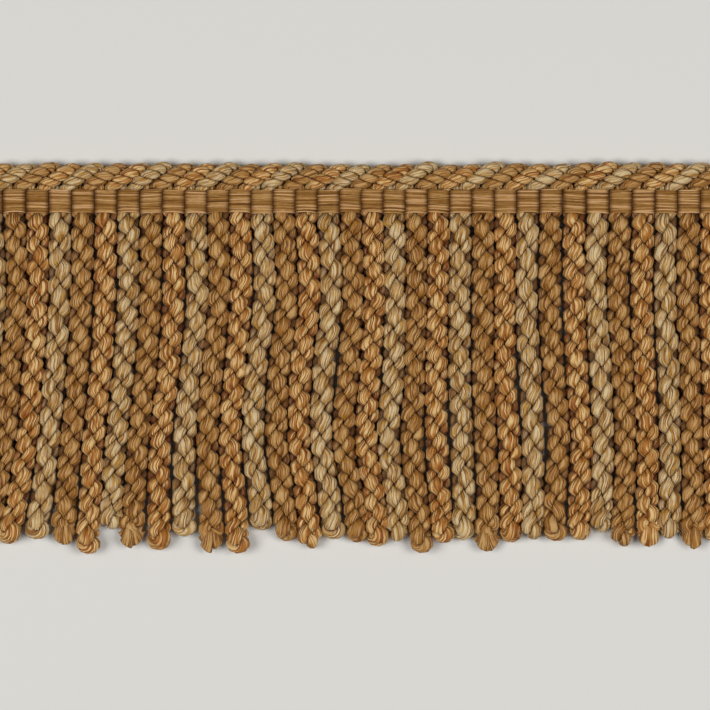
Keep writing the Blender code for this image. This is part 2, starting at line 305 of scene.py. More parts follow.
SHADE_STOPS = (0.20, 0.40, 0.55, 0.66, 0.82, 1.0)
YARNS = {
    # brown ends, dull ones, ochre ones, ashy ones, light ones and the palest
    "cream": ("#82572b", "#a47532", "#c19340", "#ac8b63", "#c4a16b", "#d5be91"),
    "gold": ("#71431a", "#895820", "#a7742a", "#9b6a37", "#b38345", "#c39b61"),
    "rust": ("#7e4517", "#9b5d1b", "#af712b", "#ab763b", "#c59552", "#debb7f"),
}
# painted shade: the deep browns that creases, grooves and yarn out of the light are mixed towards
HOLLOW_SHADES = {"cream": "#573113", "gold": "#4e280b", "rust": "#572509"}
BAND_WARPS = ("#55300c", "#794e19", "#8e6122", "#926730", "#ab7f43", "#ca9f6d")
BAND_HOLLOW_SHADE = "#4c250c"
print("ochre ends:", {name: [round(c, 3) for c in linear(row[2])] for name, row in YARNS.items()})

# %% [markdown]
# ## The finish of spun yarn
# A ply is made of about three dozen ends, each a third of a millimetre wide. The map on every
# tube says which end a point lies on, because its first number turns with the fibres, and how
# far along it is. Each end has its own shade and a slow drift along its length. Thin lines of
# painted shade part the ends, a bump rounds them, and the hollows between plies are painted deep
# brown as shade, as they look where light hardly gets in.

# %% Yarn material
ENDS_PER_PLY = 34
END_DRIFT_MM = 9.0  # the length over which an end changes its shade
UNLIKE = 7.31  # how far apart in the noise neighbouring ends are read, so that they differ
SHADE_SPREAD = {"From Min": 0.38, "From Max": 0.62, "To Min": 0.0}
FIBRES_PER_END = 3.0
FIBRE_MM = 0.12
FIBRE_RUN = 12  # a fibre shows for this many times its width
FIBRE_SHADE = 0.4
FIBRE_HEIGHT = 0.35
# painted shade along the low edges of each end
END_EDGE_SHADE = {"From Min": 0.0, "From Max": 0.60, "To Min": 0.68, "To Max": 1.0}
# how the Hollow value becomes painted shade
CREASE = {"From Min": 0.12, "From Max": 0.80, "To Min": 0.0, "To Max": 0.86}


def end_shades(tree, counted, along, drift_mm, uneven):
    """A shade for each end, drifting along it, plus the whole yarn's own."""
    end = add(tree, "ShaderNodeMath", {"operation": "FLOOR"}, {0: counted})
    apart = add(tree, "ShaderNodeMath", {"operation": "MULTIPLY", 1: UNLIKE}, {0: end})
    run = add(tree, "ShaderNodeMath", {"operation": "MULTIPLY", 1: 100 / drift_mm}, {0: along})
    spot = add(tree, "ShaderNodeCombineXYZ", links={0: apart, 1: run})
    soft = add(
        tree,
        "ShaderNodeTexNoise",
        {"Scale": 1.0, "Detail": 2.0, "Roughness": 0.6},
        {"Vector": spot},
    )
    spread = add(tree, "ShaderNodeMapRange", SHADE_SPREAD | {"To Max": uneven}, {"Value": soft})
    whole = add(tree, "ShaderNodeAttribute", {"attribute_name": "Shade"})
    return add(tree, "ShaderNodeMath", {"operation": "ADD"}, {0: spread, 1: whole.outputs["Fac"]})


def fibre_noise(tree, counted, along):
    """Short fine marks within each end, longer along it than across."""
    turn = add(tree, "ShaderNodeMath", {"operation": "MULTIPLY", 1: FIBRES_PER_END}, {0: counted})
    per_mark = 100 / (FIBRE_RUN * FIBRE_MM)
    run = add(tree, "ShaderNodeMath", {"operation": "MULTIPLY", 1: per_mark}, {0: along})
    spot = add(tree, "ShaderNodeCombineXYZ", links={0: turn, 1: run})
    return add(tree, "ShaderNodeTexNoise", {"Scale": 1.0, "Detail": 1.0}, {"Vector": spot})


def yarn_material(name, shades, ends, drift_mm, hollow_shade, uneven=1.0):
    """Spun viscose yarn: fairly rough, softly shiny, streaked along its ends."""
    material = bpy.data.materials.new(name)
    material.use_nodes = True
    tree = material.node_tree
    shader = tree.nodes["Principled BSDF"]
    uv = add(tree, "ShaderNodeUVMap", {"uv_map": "Yarn"})
    place = add(tree, "ShaderNodeSeparateXYZ", links={0: uv})
    along = place.outputs[1]
    turn = add(tree, "ShaderNodeMath", {"operation": "FLOORED_MODULO", 1: 1.0}, {0: place})
    counted = add(tree, "ShaderNodeMath", {"operation": "MULTIPLY", 1: float(ends)}, {0: turn})

    shade = end_shades(tree, counted, along, drift_mm, uneven)
    fibre = fibre_noise(tree, counted, along)
    mixed = add(
        tree, "ShaderNodeMath", {"operation": "MULTIPLY_ADD", 1: FIBRE_SHADE}, {0: fibre, 2: shade}
    )
    ramp = add(tree, "ShaderNodeValToRGB", links={"Fac": mixed})
    stops = ramp.color_ramp.elements
    for _ in shades[2:]:
        stops.new(0.5)
    for stop, position, hex_colour in zip(stops, SHADE_STOPS, shades):
        stop.position = position
        stop.color = (*linear(hex_colour), 1.0)

    # each end is round: sin(pi x) across it, so its edges are low, and painted shade darkens them
    within = add(tree, "ShaderNodeMath", {"operation": "FRACT"}, {0: counted})
    arch = add(tree, "ShaderNodeMath", {"operation": "MULTIPLY", 1: math.pi}, {0: within})
    round_end = add(tree, "ShaderNodeMath", {"operation": "SINE"}, {0: arch})
    edge = add(tree, "ShaderNodeMapRange", END_EDGE_SHADE, {"Value": round_end})
    multiply = {"data_type": "RGBA", "blend_type": "MULTIPLY", 0: 1.0}
    lined = add(tree, "ShaderNodeMix", multiply, {6: ramp, 7: edge})
    # painted shade: the Hollow value mixes in the hollow colour, in creases and out of the light
    hollow = add(tree, "ShaderNodeAttribute", {"attribute_name": "Hollow"})
    crease = add(tree, "ShaderNodeMapRange", CREASE, {"Value": hollow.outputs["Fac"]})
    towards = {"data_type": "RGBA", 7: (*linear(hollow_shade), 1.0)}
    deep = add(tree, "ShaderNodeMix", towards, {0: crease, 6: lined.outputs[2]})
    tree.links.new(deep.outputs[2], shader.inputs["Base Color"])

    raised = {"operation": "MULTIPLY_ADD", 1: FIBRE_HEIGHT}
    height = add(tree, "ShaderNodeMath", raised, {0: fibre, 2: round_end})
    bump = add(tree, "ShaderNodeBump", {"Strength": 0.6, "Distance": 0.10 * MM}, {"Height": height})
    tree.links.new(bump.outputs[0], shader.inputs["Normal"])
    shader.inputs["Roughness"].default_value = 0.54
    shader.inputs["Specular IOR Level"].default_value = 0.25
    shader.inputs["Sheen Weight"].default_value = 0.05
    shader.inputs["Sheen Roughness"].default_value = 0.4
    shader.inputs["Sheen Tint"].default_value = (*linear("#f0dcc0"), 1.0)
    return material


yarn = {
    name: yarn_material(name + "_yarn", YARNS[name], ENDS_PER_PLY, END_DRIFT_MM, HOLLOW_SHADES[name])
    for name in COLOURS
}
print("yarns:", sorted(m.name for m in yarn.values()))

# %% [markdown]
# ## Plies pressed against each other
# A cord could be one tube with painted stripes, but its lobes are what the eye sees, so each ply
# is a real tube that winds round the cord's middle line. Its middle is line ± offset (cos b · out
# + sin b · across), where the angle b turns steadily along the cord.
#
# Soft plies under tension don't stay round. They flatten against their neighbours and leave only
# thin creases. So each ring starts as an ellipse, wide across and shallow outwards, and is cut
# off halfway to every ply beside it. The distances are blended with a high power, which rounds
# the corners: reach = (sum of distance^-p)^(-1/p).

# %% The pressed ply
PLY_SIDES = 16
PRESS = 8
UPPER_SHARE = 0.4  # how much closer the points of a ring stand on its upper side
NEAREST_RIVAL = 0.6 * MM  # rivals closer than this press no harder
SECOND_PLY_TURN = 1.3  # radians between the maps of the two plies, so that they differ


def ply_middles(line, out, across, angle, offset):
    """line ± offset (cos b out + sin b across), for the two plies of a cord."""
    step = offset[:, None] * (np.cos(angle)[:, None] * out + np.sin(angle)[:, None] * across)
    return np.stack([line + step, line - step])


def pressed_rings(middles, outward, out, across, turned, up, wide, deep, rivals, sides=PLY_SIDES):
    """Rings of points about the plies' middles, their turns, and how hollow each point is.

    The points stand at s - share sin(s - up), closest together near up, and that angle is their
    turn. In direction w the ellipse reaches 1 / sqrt((w·o / deep)² + (1 - (w·o)²) / wide²),
    and the plane halfway to a rival at D reaches |D|² / (2 w·D). Each rival has a weight.
    """
    even = even_turns(sides) * 2 * math.pi
    angle = even[None, :] - UPPER_SHARE * np.sin(even[None, :] - up[:, None])
    theta = (angle + turned[:, None])[:, :-1]
    w = np.cos(theta)[..., None] * out[:, None] + np.sin(theta)[..., None] * across[:, None]
    along_out = np.einsum("rsk,prk->prs", w, outward)
    ellipse = (along_out / deep[..., None]) ** 2 + (1 - along_out**2) / wide[..., None] ** 2
    free = ellipse ** (PRESS / 2)
    pressed = np.zeros_like(free)
    for rival, weight in rivals:
        gap = rival - middles
        towards = np.maximum(np.einsum("rsk,prk->prs", w, gap), 0)
        half = np.maximum(np.sum(gap**2, -1), NEAREST_RIVAL**2)[..., None] / 2
        pressed += weight[None, :, None] * (towards / half) ** PRESS
    reach = (free + pressed) ** (-1 / PRESS)
    points = middles[:, :, None] + reach[..., None] * w[None]
    turns = np.stack([angle, angle + SECOND_PLY_TURN]) / (2 * math.pi)
    # the pressed share says how hollow each point is, and the finish paints it as shade
    return points, turns, pressed / (free + pressed)


print("each ply is a tube of", PLY_SIDES, "sides")

# %% [markdown]
# ## The bullions
# A bullion is one cord folded in half, with its two halves twisted together. Its middle line goes
# down one side, round a small bend at the tip and up the other side. Across the bullion's axis
# the two halves sit opposite each other and turn with depth, so that the one in front slants
# down to the right. At the bend, the outward direction swings from sideways to straight down and
# on to the other side, so the plies wind round the bend without a break. The two twists cancel
# in the fibres, which is why those on the surface run almost straight down.

# %% The path of a bullion
BULLION_RINGS = 320
NECK_INSIDE = 1.6 * MM  # how far each strand reaches up into the band
NECK = (-0.8 * MM, 3.5 * MM)  # the depths between which a strand grows to its full size
NECK_SHARE = 0.86  # its size where it leaves the band
NECK_SINK = 0.5 * MM
TIP_TURN_LENGTH = 14 * MM  # the last stretch, where the twist turns to suit the bend
TIP_OPENS = (9 * MM, 10 * MM)  # above the tip: where the plies swell and where the strands part
UNEVEN = 0.03  # how much plies and strands swell and thin on the way
TWIST_WANDER = 0.22  # radians by which a bullion's twist strays
PLY_WANDER = 0.20  # radians by which the plies' own twist strays
SIDE_WANDER = 0.10 * MM
MAP_WANDER = 0.12  # turns by which the ends stray round a ply
TIP_SWAY = 95.0  # mm: the sway at the tip is reached here or lower
TIP_SHAPES = {
    # bend radius in mm, angle of the bend to the table in turns, plumpness, spread, flatness
    "bun": (1.80, 0.05, 1.12, 1.05, 1.00),
    "wide": (2.15, 0.00, 1.14, 1.05, 1.00),
    "narrow": (1.45, 0.14, 1.06, 1.02, 1.00),
    "fan": (1.40, 0.25, 1.00, 1.10, 0.90),
}


def bullion_seed(index):
    """The seed from which everything uneven about one bullion is drawn."""
    return 100 + 50 * index


def bullion_drop(index):
    """How far the twisted part hangs below the band: a fan's tufts are left out."""
    return BULLIONS[index][0] * MM - (FAN_LENGTH if BULLIONS[index][-1] == "fan" else 0)


def bullion_twist(index, depth):
    """-2π (depth - cross) / lay, eased towards the tip to the angle of its bend."""
    *_, lay, cross, end = BULLIONS[index]
    lay, cross, drop = lay * MM, cross * MM, bullion_drop(index)
    wander = TWIST_WANDER * waves(depth, bullion_seed(index) + 1, (0.031, 0.047))
    twist = -2 * math.pi * (depth - cross) / lay + wander
    tip_twist = -2 * math.pi * (drop - cross) / lay
    tip_turns = TIP_SHAPES[end][1]
    short_of = (tip_turns * 2 * math.pi - tip_twist + math.pi / 2) % math.pi - math.pi / 2
    return twist + short_of * ease(depth, drop - TIP_TURN_LENGTH, drop - 0.15 * TIP_TURN_LENGTH)


def bullion_axis(index, depth, neck):
    """The rib's middle + sway(depth), lower where it leaves the band."""
    neck_sway = float(drift(np.array([rib_centre(index)]))[0]) / MM
    stops = [*SWAY_DEPTHS, max(bullion_drop(index) / MM, TIP_SWAY)]
    sway = smooth_curve(stops, [neck_sway, *BULLIONS[index][1:6]], depth / MM) * MM
    wander = SIDE_WANDER * waves(depth, bullion_seed(index) + 4, (0.023, 0.041))
    level = BULLION_LEVEL - NECK_SINK * (1 - neck)
    return np.stack([rib_centre(index) + sway + wander, -BAND_HEIGHT / 2 - depth, level], 1)


print("bends:", {name: row[0] for name, row in TIP_SHAPES.items()}, "mm in radius")

# %% [markdown]
# ## How a bullion lies
# Plies are never packed quite evenly, yet a real bullion keeps much the same width, because its
# plies slide until they fill it. So at each depth the whole section is stretched or squeezed
# sideways, until both sides come near the usual width. The tip opens out instead. Then all of
# it is lowered a little, as yarn that lies on a table is. Yarn that passes under the other
# strand, or lies deep between the bullions, is browned by painted shade, as light fails to reach
# it.

# %% Bullions
SUNK = (0.3 * MM, 6.9 * MM)  # the levels between which painted shade browns the yarn towards the table
SUNK_SHADE = 0.92
UNDER_SHADE = 0.66  # painted shade where a strand passes under the other one
LIT_TIP = (15 * MM, 6 * MM)  # above the tip: between these the painted shade fades, as it lies free
OPEN_TIP = (8 * MM, 1 * MM)  # above the tip: between these the section opens out
REACH_RINGS = 9  # rings over which the reach is averaged
LEAST_REACH = 1.5 * MM
TOP_KEEPS = 0.6  # the share of the stretching that plies on top are spared
TOP_LEVELS = (0.6 * MM, 2.4 * MM)
ROUND_CORE = (0.8 * MM, 2.2 * MM)  # from the axis: plies turn from round to pressed between these
FULLER = 0.9  # a ply nearer the axis is this much deeper for each mm, which fills its place
FULLER_LIMIT = 0.8 * MM
ALONE = (0.6, 1.3)  # in quarters of the bend: past it the other strand's plies press too


def ply_sizes(far, share):
    """Half the plies' widths and depths: round near the axis, pressed flat further out."""
    flatten = ease(far, *ROUND_CORE)
    mean = math.sqrt(PLY_WIDE * PLY_DEEP)
    full = PLY_DEEP + FULLER * np.clip(BULLION_RADIUS - PLY_DEEP - far / share, 0, FULLER_LIMIT)
    wide = share * (mean + (PLY_WIDE - mean) * flatten)
    deep = share * (mean + (full - mean) * flatten)
    return wide, deep


def packed_sideways(x, z):
    """x · (half width / reach)^evenness on each side, less so for the plies on top.

    reach is the furthest point on that side, of both strands at the same depth.
    """
    packed = x.copy()
    weights = np.hanning(REACH_RINGS)
    for side in (-1, 1):
        reach = np.max(side * x, axis=(0, 2))
        reach = np.maximum(np.maximum(reach, reach[::-1]), LEAST_REACH)
        padded = np.pad(reach, REACH_RINGS // 2, mode="edge")
        reach = np.convolve(padded, weights / weights.sum(), mode="valid")
        share = (HALF_WIDTH / reach) ** EVENNESS - 1
        on_top = TOP_KEEPS * ease(z, *TOP_LEVELS) * (share > 0)[None, :, None]
        moved = x * (1 + share[None, :, None] * (1 - on_top))
        packed = np.where(side * x > 0, moved, packed)
    return packed


def laid_down(points, axis, drop, spread, flat):
    """The section packed sideways, or spread at the tip, and flattened onto the table."""
    depth = -BAND_HEIGHT / 2 - points[..., 1]
    opened = ease(depth, drop - OPEN_TIP[0], drop - OPEN_TIP[1])
    from_axis = points - axis[None, :, None]
    across = from_axis[..., 0]
    packed = packed_sideways(across, from_axis[..., 2]) - across
    points[..., 0] += packed * (1 - opened) + across * (spread - 1) * opened
    points[..., 2] += from_axis[..., 2] * (LYING_FLAT * (1 + (flat - 1) * opened) - 1)
    points[..., 2] = rested(points[..., 2])
    return points


def light_left(points, axis, line, drop):
    """How much light is left, for painted shade: 1 in the open, less towards the table and less
    still under the other strand.
    """
    sunk = 1 - ease(points[..., 2], *SUNK)
    under = ease(axis[:, 2] - line[:, 2], 0, STRAND_OFFSET)[None, :, None]
    below = -BAND_HEIGHT / 2 - points[..., 1]
    hidden = 1 - ease(below, drop - LIT_TIP[0], drop - LIT_TIP[1])
    return (1 - SUNK_SHADE * sunk * hidden) * (1 - UNDER_SHADE * under * hidden)


def bullion(index):
    """Two strands at axis ± offset (cos a, 0, sin a), a the twist, joined round the tip's bend."""
    lay, _, end = BULLIONS[index][-3:]
    drop, seed = bullion_drop(index), bullion_seed(index)
    bend, _, plump, spread, flat = TIP_SHAPES[end]
    bend, lay = bend * MM, lay * MM
    low = drop - PLY_OFFSET - PLY_DEEP - bend
    quarter = bend * math.pi / 2
    reach = low + NECK_INSIDE + quarter
    along = np.linspace(-reach, reach, BULLION_RINGS)
    swing = np.clip(along / bend, -math.pi / 2, math.pi / 2)
    straight = low - (np.abs(along) - quarter)
    depth = np.where(np.abs(along) < quarter, low + bend * np.cos(swing), straight)

    twist = bullion_twist(index, depth)
    neck = ease(depth, *NECK)
    swell = UNEVEN * waves(depth, seed + 2) + (plump - 1) * ease(depth, drop - TIP_OPENS[0], drop)
    share = (NECK_SHARE + (1 - NECK_SHARE) * neck) * (1 + swell)
    offset = STRAND_OFFSET * (NECK_SHARE + (1 - NECK_SHARE) * neck)
    offset = offset * (1 + UNEVEN * waves(depth, seed + 3))
    offset = offset + (bend - offset) * ease(depth, drop - TIP_OPENS[1], low)

    sideways = np.stack([np.cos(twist), np.zeros_like(twist), np.sin(twist)], 1)
    across = np.stack([-np.sin(twist), np.zeros_like(twist), np.cos(twist)], 1)
    down = np.array([0.0, -1.0, 0.0])
    axis = bullion_axis(index, depth, neck)
    line = axis + (offset * np.sin(swing))[:, None] * sideways
    out = np.sin(swing)[:, None] * sideways + np.cos(swing)[:, None] * down
    # an odd eighth of a turn: where one strand's plies are stacked, the other's lie side by side
    rng = np.random.default_rng(seed)
    start = (2 * rng.integers(0, 4) + 1) * math.pi / 4 + rng.uniform(-0.25, 0.25)
    angle = start - 2 * math.pi * LOBES_PER_CROSSING * along / lay
    angle = angle + PLY_WANDER * waves(along, seed + 5, (0.04, 0.07))
    middles = ply_middles(line, out, across, angle, PLY_OFFSET * share)

    # outward is away from the bullion's own axis, within the plane of the ring
    path = np.cross(across, out)
    outward = middles - axis
    outward = outward - np.sum(outward * path, -1, keepdims=True) * path
    far = np.linalg.norm(outward, axis=-1)
    outward = outward / far[..., None]
    wide, deep = ply_sizes(far, share)
    opposite = middles[:, ::-1]
    past_bend = ease(np.abs(along), ALONE[0] * quarter, ALONE[1] * quarter)
    rivals = [
        (middles[::-1], np.ones_like(along)), (opposite, past_bend), (opposite[::-1], past_bend)
    ]
    at_bend = np.interp(0, along, twist)
    turned = -np.sign(along) * (twist - at_bend)
    up = math.pi / 2 - (at_bend % (2 * math.pi)) * np.sin(swing)
    points, turns, hollow = pressed_rings(
        middles, outward, out, across, turned, up, wide, deep, rivals
    )

    points = laid_down(points, axis, drop, spread, flat)
    # painted shade: the yarn browns where light_left says the light fails
    hollow = 1 - (1 - hollow) * light_left(points, axis, line, drop)
    turns = turns + MAP_WANDER * waves(along, seed + 6, (0.021, 0.034))[None, :, None]
    lengths = along[None] / MM + np.random.default_rng(seed + 9).uniform(0, 1000, (2, 1))
    colour = COLOURS[index % 3]
    piece = tubes_mesh(f"bullion_{index + 1:02d}_{colour}", points, turns, lengths, hollow)
    finish_piece(piece, yarn[colour], "cord_" + colour)
    return piece


bullions = [bullion(index) for index in range(COUNT)]
print(len(bullions), "bullions of", len(bullions[0].data.polygons) * 2, "triangles each")

# %% [markdown]
# ## Ends that have come untwisted
# A few bullions end in a small fan: their last plies have opened into flat tufts, cut off in a
# ragged arc. Each tuft is a tube that widens and thins towards its end. Four of them overlap,
# two outer ones low on the table and two inner ones on top.

# %% Fans
FAN_TUFTS = (
    # turn from straight down in degrees, shift right, length, level, half the width at the end
    (14.0, 1.3, 6.2, 2.7, 1.60),
    (-15.0, -1.3, 6.2, 2.9, 1.60),
    (7.0, 0.9, 6.9, 3.9, 1.70),
    (-5.0, -0.6, 7.3, 4.8, 1.90),
)
TUFT_UNEVEN = (4, 0.12, 0.25, 0.08, 0.08)  # how far those values vary
TUFT_START = 7.3  # mm above the tip, inside the last twist
TUFT_RAGGED = (-0.35, 0.10)  # mm by which its end is cut short or long
FAN_ROUND = 0.14  # how much higher it is cut at the sides: mm for each mm², which makes an arc
TUFT_RINGS = 18
TUFT_SIDES = 24


def fan(index):
    """Tufts in mm: a line bending outwards, with an ellipse round it that widens and thins."""
    drop, *_, sway = BULLIONS[index][:6]
    middle = rib_centre(index) / MM + sway
    rng = np.random.default_rng(8000 + index)
    side = rng.choice([-1, 1])
    rows = np.array(FAN_TUFTS) * [side, side, 1, 1, 1]
    rows = rows + rng.normal(0, 1, rows.shape) * TUFT_UNEVEN
    tilt, right, length, level, wide = (column[:, None] for column in rows.T)
    tilt = np.radians(tilt)
    # each tuft bends aside as it goes, rises out of the twist and sinks a little at its end
    at = np.linspace(0, 1, TUFT_RINGS)[None]
    x = middle + right + length * np.sin(tilt) * at**1.6
    y = -BAND_HEIGHT / 2 / MM - drop + TUFT_START - length * np.cos(tilt) * at
    z = level * (0.5 + 0.5 * ease(at, 0, 0.35) - 0.3 * at**3)
    line = np.stack([x, y, z], -1)

    tangent = unit(np.gradient(line, axis=1))
    sideways = unit(np.cross(tangent, np.array([0.0, 0.0, 1.0])))
    upward = np.cross(sideways, tangent)
    turn = even_turns(TUFT_SIDES)
    angle = turn[None, None, :-1, None] * 2 * math.pi
    half_wide = (wide * (0.4 + 0.45 * ease(at, 0, 0.6) + 0.15 * at))[..., None, None]
    half_deep = (0.7 + 0.9 * ease(at, 0, 0.4) - 0.6 * at**2)[..., None, None]
    ring = np.cos(angle) * half_wide * sideways[:, :, None]
    ring = ring + np.sin(angle) * half_deep * upward[:, :, None]
    ragged = rng.uniform(*TUFT_RAGGED, (len(rows), 1, TUFT_SIDES, 1)) * (at[..., None, None] ** 8)
    points = line[:, :, None] + ring + ragged * tangent[:, :, None]
    points[..., 1] += FAN_ROUND * (points[..., 0] - middle) ** 2 * at[..., None] ** 2
    points = points * MM
    points[..., 2] = rested(points[..., 2])

    # painted shade at its two edges, and where it comes out of the twist
    edges = 0.5 * np.abs(np.cos(angle[..., 0])) ** 8
    hollow = np.maximum(edges, 0.8 * (1 - ease(at, 0.05, 0.35))[..., None])
    lengths = length * at + rng.uniform(0, 900, (len(rows), 1))
    turns = np.ones((len(rows), TUFT_RINGS, 1)) * turn
    colour = COLOURS[index % 3]
    piece = tubes_mesh(f"fan_{index + 1:02d}_{colour}", points, turns, lengths, hollow)
    finish_piece(piece, yarn[colour], "cord_" + colour)
    return piece


fans = [fan(index) for index in range(COUNT) if BULLIONS[index][-1] == "fan"]
print(len(fans), "ends have come untwisted into", len(FAN_TUFTS), "tufts each")

# %% [markdown]
# ## The corded top edge
# Above the band the same cords lean over to the right, one after another, and go down behind.
# Seen from the front they make a slanting rope. Each lean is a smooth path through a few places,
# given from the middle of its rib, and all of them are the same path moved along by one pitch.

# %% Leaning cords
LEAN_RINGS = 76
LEAN_SIDES = 14
LEAN_PITCH = 5.8 * MM  # one turn of a ply, tighter than in a bullion
LEAN_PLY_WIDE = 1.90 * MM
LEAN_PLY_DEEP = 1.40 * MM
LEAN_PLY_OFFSET = 0.75 * MM
LEAN_LIMIT = COUNT * RIB_PITCH / 2 - 1.3 * MM  # a cord that would pass the end is cut off here
LEAN_FINE = 400  # places at which a lean is compared with that limit
LEAN_LEAST = 40  # a lean with fewer of them inside is left out
LEAN_HEIGHTS = (0.85, 1.0)  # no two cords rise quite as high
LEAN_WANDER = 0.12 * MM
LEAN_PAINTED_LIGHT = 0.06  # painted light: the top cords are made a little paler all over
LEAN_SUNK = (-1.0 * MM, 1.3 * MM)  # from the cord's middle: the levels between which painted shade browns it
LEAN_CROWDED = (3.5, 5.5)  # mm up from the band: below the first, the painted shade of crowded leans is full
LEAN_MAP_WANDER = 0.05
LEAN_AXIS = (1.2 * MM, 4.1 * MM)  # up and level of the line that the cords wrap round
LEAN = (
    # right, up, level, share
    (0.4, -3.0, 3.4, 0.72),
    (0.8, -1.0, 3.0, 0.78),
    (1.7, 0.8, 4.4, 0.90),
    (3.3, 2.0, 5.8, 0.96),
    (5.5, 3.4, 6.3, 0.98),
    (7.6, 5.0, 6.0, 0.98),
    (9.6, 6.2, 4.8, 0.98),
    (11.4, 6.5, 3.2, 0.96),
    (13.2, 5.7, 2.4, 0.98),
    (15.2, 4.1, 2.1, 0.98),
    (17.2, 2.5, 2.2, 0.94),
    (18.8, 1.1, 2.9, 0.84),
    (19.6, -0.8, 3.2, 0.76),
    (19.9, -3.0, 3.2, 0.72),
)


def lean_stretch(index, rows):
    """The places along a lean that lie inside the band's ends, and its rows' own places."""
    steps = np.linalg.norm(np.diff(rows[:, :3], axis=0), axis=1)
    stops = np.concatenate([[0], np.cumsum(steps)])
    fine = np.linspace(0, stops[-1], LEAN_FINE)
    x = rib_centre(index) + smooth_curve(stops, rows[:, 0], fine) * MM
    inside = fine[np.abs(x) < LEAN_LIMIT]
    if len(inside) < LEAN_LEAST:
        return None, stops
    return np.linspace(inside[0], inside[-1], LEAN_RINGS), stops


def lean(index):
    """One cord along the lean's path, wound about it as in a bullion but more tightly."""
    rows = np.array(LEAN)
    at, stops = lean_stretch(index, rows)
    if at is None:
        return None
    right, up, level, share = smooth_curve(stops, rows, at).T
    seed = 5000 + 50 * index
    up = np.where(up > 0, up * np.random.default_rng(seed + 3).uniform(*LEAN_HEIGHTS), up)
    x = rib_centre(index) + right * MM + LEAN_WANDER * waves(at * MM, seed + 1, (0.017, 0.029))
    y = BAND_HEIGHT / 2 + up * MM + LEAN_WANDER * waves(at * MM, seed + 2, (0.013, 0.023))
    line = np.stack([x + drift(x), y, level * MM], 1)
    tangent = unit(np.gradient(line, axis=0))
    axis = line.copy()
    axis[:, 1:] = np.array(LEAN_AXIS) + [BAND_HEIGHT / 2, 0]
    from_axis = line - axis
    out = unit(from_axis - np.sum(from_axis * tangent, 1)[:, None] * tangent)
    across = np.cross(out, tangent)
    start = np.random.default_rng(seed).uniform(0, 2 * math.pi)
    angle = start - 2 * math.pi * at * MM / LEAN_PITCH
    middles = ply_middles(line, out, across, angle, LEAN_PLY_OFFSET * share)
    outward = unit(middles - line)
    wide, deep = (size * share * np.ones((2, 1)) for size in (LEAN_PLY_WIDE, LEAN_PLY_DEEP))
    rivals = [(middles[::-1], np.ones_like(at))]
    points, turns, hollow = pressed_rings(
        middles, outward, out, across, 0 * at, 0 * at, wide, deep, rivals, LEAN_SIDES
    )
    points[..., 2] = rested(points[..., 2])
    # painted shade: lower on each cord, and where the leans crowd near the band
    sunk = 1 - ease(points[..., 2] - line[None, :, None, 2], *LEAN_SUNK)
    crowded = 1 - ease(up, *LEAN_CROWDED)[None, :, None]
    hollow = 1 - (1 - hollow) * (1 - SUNK_SHADE * sunk * crowded)
    turns = turns + LEAN_MAP_WANDER * waves(at * MM, seed + 6, (0.011, 0.017))[None, :, None]
    lengths = at[None] + np.random.default_rng(seed + 9).uniform(0, 1000, (2, 1))
    return points, turns, lengths, hollow


def leans_of(colour):
    """All the leans of one colour as one piece."""
    first = COLOURS.index(colour)
    parts = [lean(index) for index in range(first - 3, COUNT, 3)]
    parts = [part for part in parts if part is not None]
    points, turns, lengths, hollow = (np.concatenate(group) for group in zip(*parts))
    piece = tubes_mesh(f"top_cords_{colour}", points, turns, lengths, hollow, LEAN_PAINTED_LIGHT)
    finish_piece(piece, yarn[colour], "cord_" + colour)
    return piece


leans = [leans_of(colour) for colour in COLOURS]
print("top cords:", [len(piece.data.polygons) * 2 for piece in leans], "triangles")

# %% [markdown]
# ## The woven band
# The band is warp-faced: its fine warps run along the fringe and hide the cords they cross. Over
# each cord they arch up, and between cords they dive to the back, which makes a row of small
# ribbed pillows parted by grooves, darkened with painted shade. Warps take turns, so every second
# pillow has the same stripes. Each visible arch is its own thin tube, so the pillows have real
# threads, and a core painted dark as shade fills the inside. Every rib's middle lies a whole
# number of ribs from the origin, so the core's height follows from how far a place is from the
# nearest whole number.

# %% Warps
WARPS = (
    # from top to bottom, first over the even cords (2, 4, 6) and then over the odd ones:
    # b brown, o olive, g gold, t tan, p pale
    "ttbpogpgtboggtp",
    "ogotggobggpogbt",
)
WARP_SHADES = {"b": 0.22, "o": 0.34, "g": 0.43, "t": 0.52, "p": 0.72}
WARPS_PER_RIB = len(WARPS[0])
WARP_RADIUS = 0.29 * MM
WARP_SPREAD = 0.11  # how much the shade of a warp varies
WARP_RINGS = 13
WARP_SIDES = 6
ARCH_HALF = 3.45 * MM
FRONT_CROWN = 6.55 * MM
FRONT_DIP = 1.9 * MM
BACK_CROWN = 0.30 * MM
BACK_DIP = 0.9 * MM
BACK_RINGS = 7  # the back is hidden, so its warps have fewer rings
ARCH_ROUND = 0.35 * MM  # the gentle part of the arch, beside its steep flanks
EDGE_DROP = 0.55 * MM  # how much lower the band's edges are than its middle
SIDE_SLACK = 0.05 * MM  # how far a warp strays from its place
RIB_SLANT = 0.10 * MM
RIB_SHIFT = 0.14 * MM
LIFT = 0.30 * MM  # how far a bullion's neck lifts the lowest warps
BOW = 0.10 * MM  # how far the other warps bow outwards from the middle of a rib
WARPS_HIGH = BAND_HEIGHT + 0.6 * MM  # threads bulge a little past the band's edges
WARPS_DOWN = 0.20 * MM


